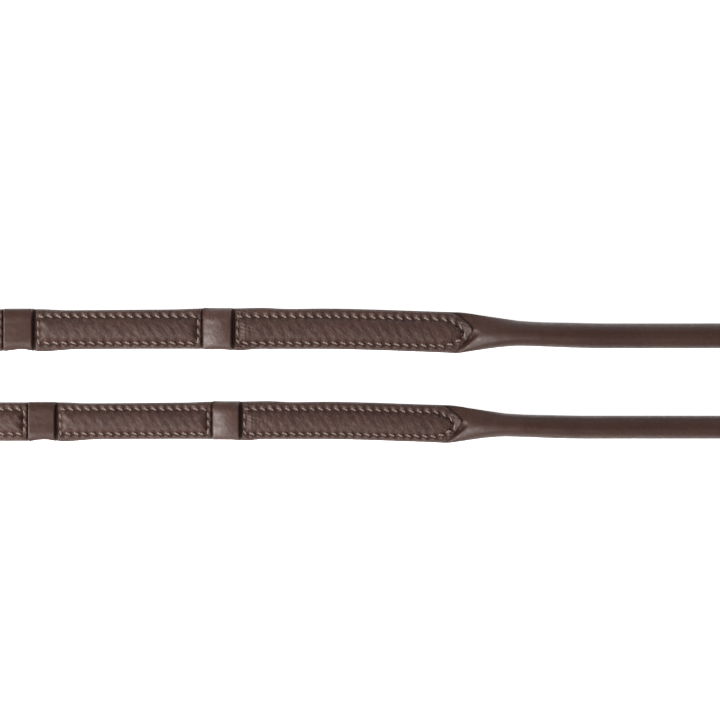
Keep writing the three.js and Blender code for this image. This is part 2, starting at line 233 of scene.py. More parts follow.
def resample(points, step):
    """A smooth line through points (Catmull-Rom), cut into even steps."""
    points = np.array(points, float)
    ends = [2 * points[0] - points[1], *points, 2 * points[-1] - points[-2]]
    dense = []
    for a, b, c, d in zip(ends, ends[1:], ends[2:], ends[3:]):
        for t in np.linspace(0, 1, 12, endpoint=False):
            dense.append(0.5 * (2 * b + (c - a) * t + (2 * a - 5 * b + 4 * c - d) * t * t
                                + (3 * b - a - 3 * c + d) * t ** 3))
    dense = np.array([*dense, points[-1]])
    travelled = np.concatenate([[0], np.cumsum(np.linalg.norm(np.diff(dense, axis=0), axis=1))])
    count = max(2, int(round(travelled[-1] / step)) + 1)
    at = np.linspace(0, travelled[-1], count)
    return np.stack([np.interp(at, travelled, dense[:, k]) for k in range(dense.shape[1])], 1)


def tangents(line):
    out = np.gradient(line, axis=0)
    return out / np.linalg.norm(out, axis=1)[:, None]


ACROSS = np.sin(np.linspace(1, -1, 31) * math.pi / 2)     # +1 is the +y edge


def oval(power, across=ACROSS):
    """Top and bottom heights, from 0 to 1, across a section: round at power 2, boxy above."""
    return (1 - np.abs(across) ** power).clip(0) ** (1 / power)


def section(centre_y, half, bottom, top, power):
    """The (y, z) points round a strap's section, from its +y edge over the top."""
    rise = oval(power)
    middle = (bottom + top) / 2
    y = centre_y + half * ACROSS
    upper = np.stack([y, middle + (top - middle) * rise], 1)
    lower = np.stack([y, middle - (middle - bottom) * rise], 1)
    return np.concatenate([upper, lower[-2:0:-1]])


def arc(x, z, radius, start, end, count):
    angles = np.radians(np.linspace(start, end, count))
    return [(x + radius * math.cos(a), z + radius * math.sin(a)) for a in angles]


def band(name, rein, x0, x1, centre_y, half, bottom, top, wall, material, corner=2.2):
    """A loop of strap round other straps, with softened edges."""
    def loop(grow, x):
        count = 12
        ring = []
        radius = max(corner + grow, 0.3)
        half_y, low, high = half + grow, bottom - grow, top + grow
        for cy, cz, start in ((1, 1, 0), (-1, 1, 90), (-1, -1, 180), (1, -1, 270)):
            oy = centre_y + cy * (half_y - radius)
            oz = high - radius if cz > 0 else low + radius
            for y, z in arc(oy, oz, radius, start, start + 90, count):
                ring.append((x, y, z))
        return ring

    soft = min(0.45, wall * 0.4)
    stations = [(x0, -soft), (x0 + soft * 0.4, -soft * 0.3), (x0 + soft, 0)]
    stations += [(x, 0.06 * math.sin(x * 2.1)) for x in np.linspace(x0 + 1, x1 - 1, 9)]
    stations += [(x1 - soft, 0), (x1 - soft * 0.4, -soft * 0.3), (x1, -soft)]
    outer = [loop(grow, x) for x, grow in stations]
    inner = [loop(-wall - min(grow, 0) * 0.4, x) for x, grow in stations]
    return shell(name, outer, inner, material, rein)


# ---- materials ----------------------------------------------------------------------------

class Nodes:
    """A material and short ways to add its nodes."""

    def __init__(self, name):
        self.material = bpy.data.materials.new(name)
        self.material.use_nodes = True
        self.tree = self.material.node_tree
        self.shader = self.tree.nodes["Principled BSDF"]
        self.coords = self.tree.nodes.new("ShaderNodeTexCoord").outputs["Object"]

    def add(self, kind, **inputs):
        node = self.tree.nodes.new(kind)
        for key, value in inputs.items():
            socket = node.inputs[key.replace("_", " ")]
            self.feed(socket, value)
        return node

    def feed(self, socket, value):
        if isinstance(value, bpy.types.NodeSocket):
            self.tree.links.new(value, socket)
        else:
            socket.default_value = value

    def stretched(self, scale, turn=0.0):
        """Coordinates turned in plan, then stretched."""
        turned = self.add("ShaderNodeMapping", Vector=self.coords, Rotation=(0, 0, turn))
        node = self.add("ShaderNodeMapping", Vector=turned.outputs["Vector"], Scale=scale)
        return node.outputs["Vector"]

    def noise(self, scale, detail=4, roughness=0.55, vector=None, distortion=0.0):
        node = self.add("ShaderNodeTexNoise", Vector=vector or self.coords, Scale=scale,
                        Detail=detail, Roughness=roughness, Distortion=distortion)
        return node.outputs["Fac"]

    def cells(self, scale, vector=None, feature="F1", randomness=1.0):
        node = self.add("ShaderNodeTexVoronoi", Vector=vector or self.coords, Scale=scale,
                        Randomness=randomness)
        node.feature = feature
        return node.outputs["Distance"]

    def ramp(self, value, low, high, start=0.3, end=0.7):
        node = self.add("ShaderNodeMapRange", Value=value)
        for key, number in (("From Min", start), ("From Max", end), ("To Min", low),
                            ("To Max", high)):
            node.inputs[key].default_value = number
        return node.outputs["Result"]

    def mix(self, factor, first, second):
        node = self.tree.nodes.new("ShaderNodeMix")
        node.data_type = "RGBA"
        self.feed(node.inputs["Factor"], factor)
        self.feed(node.inputs[6], (*first, 1) if isinstance(first, tuple) else first)
        self.feed(node.inputs[7], (*second, 1) if isinstance(second, tuple) else second)
        return node.outputs[2]

    def bump(self, height, distance, strength=1.0, normal=None):
        node = self.add("ShaderNodeBump", Height=height, Distance=distance, Strength=strength)
        if normal is not None:
            self.feed(node.inputs["Normal"], normal)
        return node.outputs["Normal"]

    def finish(self, color=None, roughness=None, normal=None, **constants):
        if color is not None:
            self.feed(self.shader.inputs["Base Color"],
                      (*color, 1) if isinstance(color, tuple) else color)
        if roughness is not None:
            self.feed(self.shader.inputs["Roughness"], roughness)
        if normal is not None:
            self.feed(self.shader.inputs["Normal"], normal)
        for key, value in constants.items():
            self.shader.inputs[key.replace("_", " ")].default_value = value
        return self.material


def leather(name, dark, light, streak_tone, grain, grain_depth, wrinkle_depth, rough, streaks):
    """Aniline-dyed leather: pebbled grain, slanting wrinkles with lighter streaks, uneven dye and
    painted shade in the crevices.
    """
    n = Nodes(name)
    slant = n.stretched((0.34, 1.35, 1.0), math.radians(55))
    wrinkles = n.noise(1100, 6, 0.68, slant, 0.5)
    patches = n.ramp(n.noise(60, 4), 0, 1, 0.3, 0.7)
    color = n.mix(patches, dark, light)
    # lighter streaks where the slanting wrinkles stand highest
    streak_mask = n.ramp(wrinkles, 0, streaks, 0.5, 0.68)
    color = n.mix(streak_mask, color, streak_tone)
    pebbles = n.cells(grain, feature="SMOOTH_F1")
    # painted shade: the crevices between the pebbles are darkened
    crevice_shade = n.ramp(pebbles, 0.0, 0.35, 0.45, 0.8)
    color = n.mix(crevice_shade, color, tuple(c * 0.5 for c in dark))
    normal = n.bump(pebbles, grain_depth, -1.0)
    normal = n.bump(wrinkles, wrinkle_depth, 1.0, normal)
    normal = n.bump(n.noise(240, 5, 0.6, n.stretched((0.6, 1.1, 1.0), math.radians(55))),
                    wrinkle_depth * 2.2, 1.0, normal)
    roughness = n.ramp(n.noise(420, 4), rough - 0.08, rough + 0.12)
    return n.finish(color, roughness, normal, Specular_IOR_Level=0.38, IOR=1.5)


def thread_material():
    n = Nodes("thread")
    twist = n.noise(2600, 3, 0.6, n.stretched((1.0, 2.2, 1.0), 0.8))
    color = n.mix(n.noise(700, 3), (0.165, 0.113, 0.092), (0.27, 0.20, 0.165))
    return n.finish(color, n.ramp(twist, 0.6, 0.85), n.bump(twist, 0.00008),
                    Sheen_Weight=0.25, Sheen_Roughness=0.5)


def steel_material():
    n = Nodes("polished_steel")
    brushed = n.noise(900, 4, 0.6, n.stretched((0.2, 3.0, 1.0)))
    color = n.mix(n.noise(120, 3), (0.20, 0.20, 0.195), (0.29, 0.29, 0.28))
    return n.finish(color, n.ramp(brushed, 0.24, 0.38), n.bump(brushed, 0.00001),
                    Metallic=1.0)


GRAINED = leather("grained_leather", (0.036, 0.0134, 0.0094), (0.054, 0.0216, 0.0160),
                  (0.115, 0.070, 0.057), 1300, 0.00022, 0.00020, 0.47, 0.75)
SMOOTH = leather("smooth_leather", (0.036, 0.0132, 0.0090), (0.047, 0.0190, 0.0135),
                 (0.085, 0.045, 0.034), 2600, 0.00004, 0.00006, 0.43, 0.3)
# a lighter copy of the smooth leather for the second hand stop: its lighter tone is painted sheen
STOP_SHEEN_LEATHER = leather("hand_stop_leather", (0.045, 0.0185, 0.0138), (0.058, 0.0262, 0.0200),
               (0.125, 0.080, 0.066), 2300, 0.00006, 0.00010, 0.37, 0.4)
THREAD = thread_material()
STEEL = steel_material()


# ---- the strap under the grip, with its neck and its centre end --------------------------

CENTRE = curve_through([-20, 43, 62, 84, 112], [0, -1.45, -1.75, -2.6, ROLL_SHIFT])
JOINT = 81.3                      # where the neck has become the rolled section
NECK_FOOT = 40                    # where the flat grip begins to rise into the neck
GRIP_END = -238                   # where the grip begins to narrow into the tail
UPPER = curve_through(        # the strap's half widths, on each side of its centreline
    [-162, -144, -132, -100, -84, -70, -59, -54, -44, -32, -14, 44, 49, 54, 64.8, 73, 81],
    [8.85, 8.85, 8.4, 8.6, 8.75, 9.2, 9.15, 9.25, 9.45, 8.95, 9.15, 8.95, 8.5, 7.75, 6.35, 5.6,
     ROLL_RADIUS])
LOWER = curve_through(
    [-162, -152, -143, -126, -84, -62, -54, -46, -14, 34, 43, 49, 54, 64.8, 73, 81],
    [10.0, 9.0, 10.2, 9.2, 9.05, 9.1, 9.75, 9.1, 9.1, 9.3, 9.5, 8.7, 7.85, 6.3, 5.6,
     ROLL_RADIUS])
GRIP_BOTTOM, GRIP_TOP = 0.25, 3.95
TAIL_BOTTOM, TAIL_TOP = 0.4, 3.1
TAIL_HALF = 8.0
THINNED_FROM, THINNED = -400, 2.5   # the strap is thinner near its end
ROUNDING = curve_through([42, 49, 55, 66, 78], [4.5, 2.1, 1.7, 1.85, 2.0])
SKEW = curve_through([42, 50, 60, 76], [0.0, 0.34, 0.24, 0.0])   # of the top, to the lower edge
NECK_TOP = curve_through([41, 46, 51, 56, 62, 70, 81],
                         [GRIP_TOP, 5.0, 6.9, 9.1, 10.9, 12.05, ROLL_LIFTED + ROLL_RADIUS])
NECK_BOTTOM = curve_through([43, 81], [GRIP_BOTTOM, ROLL_LIFTED - ROLL_RADIUS])


def strap_top(x, across):
    """Height of the strap's top; across is +1 at the upper edge and -1 at the lower one.

    The roll starts as a crest. On the lower side it climbs slantwise from the edge, steep
    towards the grip. On the upper side it swells up under the panel's point.
    """
    bottom, top, power = NECK_BOTTOM(x), NECK_TOP(x), ROUNDING(x)
    skewed = across + SKEW(x) * (1 - across ** 2)
    rolled = (bottom + top) / 2 + (top - bottom) / 2 * oval(power, skewed)
    flat = GRIP_BOTTOM + (GRIP_TOP - GRIP_BOTTOM) * (0.5 + 0.5 * oval(4.5, across))
    crest = 51.4 - 9.4 * np.clip(-across - 0.12, 0, 1) ** 1.1
    steep = smooth_step((x - crest) / 2.0)
    swelling = smooth_step((x - 42.5) / 8.0)
    rise = steep + (swelling - steep) * smooth_step((across + 0.35) / 0.5)
    return np.where(x > NECK_FOOT, flat + (rolled - flat) * rise, flat)


def grip_section(x):
    """The strap's section at x, where it lies flat or rises into the neck."""
    points = section(0, 1, float(NECK_BOTTOM(x)), float(NECK_TOP(x)), float(ROUNDING(x)))
    y, z = points.T
    over = len(ACROSS)
    z[:over] = strap_top(np.full(over, x), ACROSS)
    y = float(CENTRE(x)) + np.where(y > 0, y * float(UPPER(x)), y * float(LOWER(x)))
    return np.stack([np.full_like(y, x), y, z], 1)


def tucked_in(ring):
    """The strap's last ring, a little inside the rolled section."""
    middle = ring.mean(0)
    return middle + (ring - middle) * 0.93 + (0.9, 0, 0)


def strap_rings(tail_line, halves):
    """Rings from the neck's end to the end of the tail, whose half widths are given."""
    rings = [grip_section(x) for x in np.arange(JOINT, NECK_FOOT, -0.6)]
    rings.insert(0, tucked_in(rings[0]))
    rings += [grip_section(x) for x in np.arange(NECK_FOOT, GRIP_END, -1.5)]
    rings = [np.array(r) for r in rings]
    # from the grip's section to the tail's
    for x in np.arange(GRIP_END - 1.5, GRIP_END - 10, -1.5):
        t = float(smooth_step((GRIP_END - x) / 10))
        a = grip_section(x)
        b = section(0, TAIL_HALF, TAIL_BOTTOM, TAIL_TOP, 4.5)
        b = np.stack([np.full(len(b), x), b[:, 0], b[:, 1]], 1)
        rings.append(a + (b - a) * t)
    along = tangents(tail_line)
    thick = TAIL_TOP - TAIL_BOTTOM
    for (x, z), (dx, dz), half in zip(tail_line, along, halves):
        depth = thick if half > TAIL_HALF * 0.5 else thick * (0.6 + 0.8 * half / TAIL_HALF)
        if x < THINNED_FROM:
            depth = min(depth, THINNED)
        flat = section(0, half, -depth / 2, depth / 2, 4.5)
        rings.append(np.array([(x + dz * v, y, z - dx * v) for y, v in flat]))
    return rings


def pointed(distance, length=16.0, blunt=0.25):
    """Width factor near a pointed strap end, from the distance to the tip."""
    t = np.clip(distance / length, 0, 1)
    return max(float((1 - (1 - t) ** 2.3) ** 0.75), blunt * min(1.0, distance / 0.6 + 0.05))


BAR = (-481.0, 6.0)               # the buckle's bar, in x and z
TAIL_MID = (TAIL_BOTTOM + TAIL_TOP) / 2
TAIL_STEP = 1.1
TIP_END = -486


def buckle_strap(rein):
    line = resample(
        [(-249, TAIL_MID), (-300, TAIL_MID), (-325, 1.85), (-346, 2.65), (-362, 2.8), (-396, 2.8),
         (-410, 3.3), (-420, 4.6), (-430, 5.45), (-438, 5.6), (-452, 5.6), (-466, 5.6), (-471, 6.5),
         (-476, 8.5), *arc(*BAR, 3.3, 90, 270, 9), (-474, 2.7), (-460, 2.6), (-446, 2.6),
         (-433, 2.6)], TAIL_STEP)
    left = (len(line) - 1 - np.arange(len(line))) * TAIL_STEP
    halves = [TAIL_HALF * pointed(distance, 9.0) for distance in left]
    strap = loft("left_strap", strap_rings(line, halves), SMOOTH, rein)
    slot = []
    for x in (-472.0, -486.0):
        slot.append([(x, y, z) for y, z in ((2.2, -2), (2.2, 13), (-2.2, 13), (-2.2, -2))])
    tool = loft("left_strap_slot", slot, SMOOTH, rein)
    cut_out(strap, [tool])
    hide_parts("left_grip_lining", "left_neck", "left_buckle_strap")
    return strap


HOLE_XS = [-464.0 + 20 * i for i in range(5)]
HOLE_RADIUS = 2.3


def tip_strap(rein):
    line = resample([(x, TAIL_MID) for x in (-249, -330, -410, TIP_END)], TAIL_STEP)
    halves = [TAIL_HALF * pointed(x - TIP_END) for x in line[:, 0]]
    strap = loft("right_strap", strap_rings(line, halves), SMOOTH, rein)
    tools = []
    for x in HOLE_XS:
        rings = [[(x + HOLE_RADIUS * math.cos(a), HOLE_RADIUS * math.sin(a), z)
                  for a in np.linspace(0, 2 * math.pi, 24, endpoint=False)] for z in (-3, 8)]
        tools.append(loft("hole", rings, SMOOTH, rein))
    cut_out(strap, tools)
    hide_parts("right_grip_lining", "right_neck", "right_tip_strap")
    return strap


for strap, rein in ((buckle_strap(REINS["left"]), REINS["left"]),
                    (tip_strap(REINS["right"]), REINS["right"])):
    fold = [rein.place([(FOLD_X + d, 0, FOLD_Z)])[0] for d in (FOLD_REACH, -FOLD_REACH)]
    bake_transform(strap)


# ---- padded panels ------------------------------------------------------------------------

PANEL_CENTRE = -0.38
PANEL_HALF = 8.4
INSIDE_EDGE = 0.45               # from the strap's edge to the panel's
STITCH_HALF = 5.95
END_INSET = 1.4                  # from a square end to its row of stitches
POINT = 11.0                     # length of a pointed end
GROOVE_Z = 4.75
CROWN = 2.25
SLANTS = {"end": 8, "upper": -30, "lower": -24}      # degrees a stitch leans from its row


def panel_width(x, start, end, point, half, inset):
    """Half width of a panel, or of its stitching, at x."""
    width = np.full_like(x, half)
    for sign, tip in ((-1, start), (1, end)):
        left = (tip - x) * sign - inset
        if point == sign:
            t = np.clip(left / POINT, 0, 1)
            width = np.minimum(width, half * (1 - (1 - t) ** 1.8) ** 0.74)
        else:
            t = np.clip(left / 1.1, 0, 1)
            width = np.minimum(width, half - 1.1 + 1.1 * np.sqrt(1 - (1 - t) ** 2))
    return width


def stitch_loop(start, end, point):
    """The closed line of stitches round a panel, in even small steps."""
    inset = [3.0 if point == s else END_INSET for s in (-1, 1)]
    x = np.concatenate([
        np.linspace(0, 0.06, 24), np.linspace(0.06, 0.94, 120)[1:-1],
        np.linspace(0.94, 1, 24)])
    x = start + inset[0] + (end - inset[1] - start - inset[0]) * x
    shifted = (start + inset[0], end - inset[1])
    width = panel_width(x, *shifted, point, STITCH_HALF, 0.0)
    upper = np.stack([x, PANEL_CENTRE + width], 1)
    lower = np.stack([x, PANEL_CENTRE - width], 1)[::-1]
    loop = np.concatenate([upper, lower, upper[:1]])
    step = np.linalg.norm(np.diff(loop, axis=0), axis=1)
    keep = np.concatenate([[True], step > 1e-6])
    loop = loop[keep]
    travelled = np.concatenate([[0], np.cumsum(np.linalg.norm(np.diff(loop, axis=0), axis=1))])
    count = int(travelled[-1] / 0.25)
    at = np.linspace(0, travelled[-1], count + 1)
    loop = np.stack([np.interp(at, travelled, loop[:, k]) for k in range(2)], 1)
    return loop[:-1], travelled[-1]


def under(x, y):
    """Height of the strap under a panel, y being counted from the strap's centreline."""
    across = y / np.where(y > 0, UPPER(x), LOWER(x))
    return strap_top(x, across.clip(-1, 1))


def panel_height(x, y, loop, length, pitch, start, end):
    """Height of a panel's top at (x, y): pad, groove, pinches at the stitches and margin."""
    shape = x.shape
    points = np.stack([x.ravel(), y.ravel()], 1)
    nearest = np.empty(len(points), int)
    gap = np.empty(len(points))
    for i in range(0, len(points), 4000):
        d = np.linalg.norm(points[i:i + 4000, None] - loop[None], axis=2)
        nearest[i:i + 4000] = d.argmin(1)
        gap[i:i + 4000] = d.min(1)
    middle = np.clip(points[:, 0], start + 6, end - 6)
    inner = np.linalg.norm(points - np.stack([middle, np.full(len(points), PANEL_CENTRE)], 1),
                           axis=1)
    line = np.linalg.norm(loop[nearest] - np.stack(
        [middle, np.full(len(points), PANEL_CENTRE)], 1), axis=1)
    inside = inner < line
    travelled = nearest / len(loop) * length
    phase = np.cos(2 * math.pi * travelled / pitch)
    pad = CROWN * (1 - np.exp(-(gap / 1.7) ** 1.3)) * 0.8
    dome = CROWN * 0.2 * (1 - ((points[:, 1] - PANEL_CENTRE) / STITCH_HALF) ** 2)
    margin = 0.6 * (1 - np.exp(-(gap / 0.6) ** 2))
    margin -= 0.26 * phase * np.exp(-((gap - 1.0) / 0.7) ** 2)
    height = np.where(inside, pad + dome * (1 - np.exp(-gap)), margin)
    height -= 0.24 * (0.5 + 0.5 * phase) * np.exp(-(gap / 1.2) ** 2)
    height += np.where(inside, -0.16 * phase * np.exp(-((gap - 1.3) / 0.9) ** 2), 0)
    px, py = points[:, 0], points[:, 1]
    height += np.where(inside, 0.05 * np.sin(px * 1.3 + py * 0.9), 0)
    for tip in (start, end):
        near = np.exp(-((px - tip) / 7.0) ** 2) * (abs(tip) < 60 or tip < -200)
        height += 0.28 * near * np.sin(2.3 * px + 1.9 * py) * np.sin(1.9 * py - 1.1 * px)
    height += GROOVE_Z
    height = np.maximum(height, under(px, py) + 0.75 + 0.5 * (height - GROOVE_Z))
    return height.reshape(shape)


ACROSS_PANEL = np.sin(np.linspace(1, -1, 61) * math.pi / 2)


def panel(rein, index):
    start, end = PANELS[index]
    point = POINTED[index]
    name = f"{rein.name}_padded_cover_{index + 1}"
    loop, length = stitch_loop(start, end, point)
    count = int(round(length / PITCH))
    pitch = length / count
    ends = 0.5 * (1 - np.cos(np.linspace(0, math.pi / 2, 14)))[:-1] * 1.6
    x = np.concatenate([start + ends, np.arange(start + 1.7, end - 1.7, 0.45),
                        (end - ends)[::-1]])
    width = panel_width(x, start, end, point, PANEL_HALF, 0.0)
    width = np.maximum(width, 0.15)
    grid_x = np.repeat(x[:, None], len(ACROSS_PANEL), 1)
    reach = [(side(x) - INSIDE_EDGE) * width / PANEL_HALF for side in (UPPER, LOWER)]
    grid_y = np.where(ACROSS_PANEL > 0, reach[0][:, None], reach[1][:, None]) * ACROSS_PANEL
    # the outer point leans to the upper side
    grid_y = grid_y + 2.2 * (point > 0) * smooth_step((grid_x - end + 5.5) / 11)
    height = panel_height(grid_x, grid_y, loop, length, pitch, start, end)
    edge = (1 - np.abs(ACROSS_PANEL) ** 14).clip(0) ** 0.5
    to_end = np.minimum(x - start, end - x).clip(0)
    fall = np.sqrt(1 - (1 - np.clip(to_end / 0.9, 0, 1)) ** 2)
    base = np.maximum(3.7, under(grid_x, grid_y) - 0.3)
    height = base + (height - base) * (0.25 + 0.75 * edge[None]) * (0.3 + 0.7 * fall[:, None])
    drift = CENTRE(x)[:, None]
    upper = np.stack([grid_x, grid_y + drift, height], 2)
    lower = np.stack([grid_x, grid_y + drift, base - 0.25], 2)
    rings = np.concatenate([upper, lower[:, ::-1]], 1)
    cover = loft(name, rings, GRAINED, rein, sharp=70)
    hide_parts(f"{rein.name}_grip_panel_{index + 1}",
                f"{rein.name}_panel_filler_{index + 1}")
    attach(cover, "reins")
    sewing = stitches(rein, name + "_stitches", loop, length, count, start, end)
    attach(sewing, "reins")


def stitches(rein, name, loop, length, count, start, end):
    """Slanting two-ply stitches, one for each pitch of the line."""
    pitch = length / count
    sides, steps, reach, radius = 7, 9, 1.45, 0.36
    points, faces = [], []
    for k in range(count):
        at = (k + 0.5) * pitch / length * len(loop)
        i = int(at) % len(loop)
        here = loop[i]
        ahead = loop[(i + 6) % len(loop)] - loop[i - 6]
        along = ahead / np.linalg.norm(ahead)
        row = "end" if abs(along[0]) < 0.5 else "upper" if along[0] > 0 else "lower"
        slant = math.radians(SLANTS[row])
        run = np.array([along[0] * math.cos(slant) - along[1] * math.sin(slant),
                        along[0] * math.sin(slant) + along[1] * math.cos(slant)])
        over = np.array([-run[1], run[0]])
        z = float(panel_height(np.array([here[0]]), np.array([here[1]]), loop, length, pitch,
                               start, end)[0]) + 0.34
        drift = float(CENTRE(here[0]))
        for ply in (0, math.pi):
            base = len(points)
            for s in range(steps):
                t = s / (steps - 1) * 2 - 1
                twist = ply + t * 3.6
                narrow = radius * math.sqrt(max(1 - abs(t) ** 5, 0.04))
                mid = here + run * (t * reach) + over * (0.2 * math.cos(twist))
                lift = z + 0.2 * math.sin(twist) - 0.55 * abs(t) ** 4
                for c in range(sides):
                    a = 2 * math.pi * c / sides
                    side = over * (narrow * math.cos(a))
                    points.append((mid[0] + side[0], mid[1] + side[1] + drift,
                                   lift + narrow * math.sin(a)))
            faces += grid_faces(steps, sides, base)
            faces.append(tuple(range(base, base + sides))[::-1])
            faces.append(tuple(range(base + (steps - 1) * sides, base + steps * sides)))
    obj = new_mesh(name, rein.place(points), faces, THREAD, 80)
    fix_normals(obj)
    return obj


# ---- hand stops ---------------------------------------------------------------------------

def hand_stop(rein, index):
    """A smooth loop round the strap, that climbs to a ridge and drops off towards the bit."""
    start, end = STOPS[index]
    name = f"{rein.name}_stop_loop_{index + 1}"
    outer, inner = [], []
    steps = [[0, 0.01, 0.03], np.linspace(0.06, 0.9, 22), np.linspace(0.92, 1, 8)]
    for t in np.concatenate(steps):
        x = start + (end - start) * t
        climb = 1 - (1 - min(t / 0.92, 1)) ** 2.1
        drop = smooth_step((t - 0.92) / 0.08)
        low, high = ((7.1, 0.25), (4.75, 3.0))[index]
        top = low + high * climb - 3.2 * float(drop)
        soft = 0.5 * (1 - min(t / 0.03, 1)) + 0.4 * max(0, (t - 0.97) / 0.03)
        up, down = float(UPPER(x)) + 0.25, float(LOWER(x)) + 0.25
        points = section(0, 1, 0.02 + soft * 0.1, top - soft, (6.0, 3.0)[index])
        y = np.where(points[:, 0] > 0, points[:, 0] * (up - soft), points[:, 0] * (down - soft))
        z = points[:, 1]
        on_top = z > 3
        pucker = 0.16 * np.sin(y * 3.6) * math.exp(-((t - 0.04) / 0.09) ** 2)
        pucker += 0.06 * np.sin(y * 1.7 + 1.0) * math.exp(-((t - 0.3) / 0.25) ** 2)
        z = z + np.where(on_top, pucker - 0.3 * (y - 5.6).clip(0, 4), 0)
        if index == 0:
            z = np.where(on_top, z - 0.3 * (-y - 5.9).clip(0, 3), z)
        outer.append(np.stack([np.full_like(y, x), y + float(CENTRE(x)), z], 1))
        points = section(0, 1, 0.2, GRIP_TOP + 0.1, 4.5)
        y = np.where(points[:, 0] > 0, points[:, 0] * (up - 0.35), points[:, 0] * (down - 0.35))
        inner.append(np.stack([np.full_like(y, x), y + float(CENTRE(x)), points[:, 1]], 1))
    # the second stop takes the lighter leather, whose lighter tone is painted sheen
    stop = shell(name, outer, inner, (SMOOTH, STOP_SHEEN_LEATHER)[index], rein)
    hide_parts(f"{rein.name}_hand_stop_{index + 1}",
                f"{rein.name}_hand_stop_core_{index + 1}")
    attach(stop, "reins")


# ---- rolled section -----------------------------------------------------------------------

# In each rein's own space: the left one lies outside the right one, through the tie, round the
# fold and back to its billet. The same points as in part.mjs: a helper script smoothed a layout
# set by hand and spaced them evenly.
ROUTES = {
    "left": [
        (81.3, -3.2, 6.9), (98, -3.2, 6.4), (114.7, -3.2, 5.8), (131.4, -3.2, 5.6),
        (148.1, -3.2, 5.6), (164.8, -3.2, 5.6), (181.5, -3.7, 5.6), (198.2, -5, 5.6),
        (214.8, -7, 5.6), (231.3, -9.4, 5.6), (247.9, -11.9, 5.7), (264.4, -14.1, 5.9),
        (281, -15.9, 6.3), (297.7, -16.9, 6.7), (314.4, -17.2, 6.9), (331.1, -16.2, 6.7),
        (346.4, -10, 5.9), (359.4, 0.5, 5.6), (374.2, 8.1, 5.6), (390.8, 9.4, 5.6),
        (406.6, 4.4, 5.6), (419.4, -6.1, 5.6), (427.3, -20.7, 5.6), (429.2, -37.2, 5.6),
        (424.7, -53.2, 5.6), (414.5, -66.4, 5.6), (400.2, -74.7, 5.6), (383.7, -77.1, 5.6),
        (367.6, -73.1, 5.6), (354, -63.5, 5.6), (340.3, -54, 6.3), (324.1, -50.8, 6.9),
        (307.9, -54.4, 6.9), (293.5, -62.9, 6.9), (280.6, -71.9, 6.9), (269, -74.8, 6.9),
        (263, -74.8, 6.9),
    ],
    "right": [
        (81.3, -3.2, 7), (98.7, -3.2, 6.6), (116, -3.2, 6.1), (133.4, -3.2, 5.7),
        (150.8, -3.2, 5.6), (168.1, -3.2, 5.6), (185.5, -3.1, 5.6), (202.8, -2.2, 5.6),
        (220.1, -0.4, 5.6), (237.3, 2.1, 5.6), (254.4, 5, 5.6), (271.5, 7.9, 5.7),
        (288.7, 10.5, 6), (306, 12.5, 6.4), (323.3, 13.6, 6.9), (340.6, 13.9, 7),
        (358, 14.7, 6.9), (374.7, 19.1, 6.3), (388.9, 28.9, 5.7), (403, 39.1, 5.6),
        (419.8, 42.7, 5.6), (436.2, 37.7, 5.6), (448.2, 25.4, 5.6), (452.9, 8.8, 5.6),
        (449, -7.9, 5.6), (437.5, -20.7, 5.6), (421.3, -26.4, 5.6), (404.3, -23.6, 5.6),
        (390.1, -13.8, 5.7), (376.1, -3.6, 6.2), (359.5, 1.4, 6.9), (342.2, 1.2, 7),
        (325.4, -3, 7), (309.5, -10, 7), (294, -16, 7), (282, -18, 7),
        (276, -18, 7),
    ],
}


def rolled_rein(rein):
    """The rolled leather: a tube with a closed seam along it."""
    line = resample(ROUTES[rein.name], 1.6)
    near = line[:, 0] < 130
    line[near, 1] = CENTRE(line[near, 0])
    along = tangents(line)
    seam_at = math.radians(87)
    angles = np.linspace(0, 2 * math.pi, 44, endpoint=False)
    angles = np.sort(np.concatenate([angles[np.abs(angles - seam_at) > 0.3],
                                     seam_at + np.linspace(-0.28, 0.28, 15)]))
    seam_width = np.where(angles < seam_at, 0.3, 0.09)
    seam = np.exp(-((angles - seam_at) / seam_width) ** 2)
    rings = []
    for p, d in zip(line, along):
        straight = max(0.0, 1 - (p[0] - JOINT) / 8) if p[0] < 120 else 0.0
        d = d + (np.array([1.0, 0, 0]) - d) * straight
        d /= np.linalg.norm(d)
        aside = np.array([-d[1], d[0], 0.0])
        aside /= np.linalg.norm(aside)
        up = np.cross(d, aside)
        opened = float(smooth_step((p[0] - JOINT - 1.5) / 14)) if p[0] < 120 else 1.0
        radius = ROLL_RADIUS + 0.12 * opened - 0.32 * seam * opened
        rings.append(p + np.outer(radius * np.cos(angles), aside)
                     + np.outer(radius * np.sin(angles), up))
    rings = np.maximum(rings, (-math.inf, -math.inf, 0.02))      # flat where it touches the floor
    return line, loft(f"{rein.name}_rolled_rein", rings, SMOOTH, rein, sharp=70)


# ---- billets ------------------------------------------------------------------------------

BILLET_HALF = 7.0
BILLET_LOW, BILLET_HIGH = 2.8, 6.4
EYE_X, EYE_RADIUS = 188.0, 6.4
STUD_X = 214.0
KEEPER_LENGTH = 8
BILLET_KEEPER = (0, 8.4, 0.1, 9.1, 1.1)      # centre, half width, bottom, top and wall
BILLET_PLACE = {"left": (-13.0, -74.8), "right": (0.0, -18.0)}


def at_billet(rein, obj):
    """Moves a piece made on the centreline to its place beside the returning run."""
    along, across = BILLET_PLACE[rein.name]
    for vertex in obj.data.vertices:
        vertex.co += Vector((along, across, 0)) * (MM * rein.scale)
    return obj


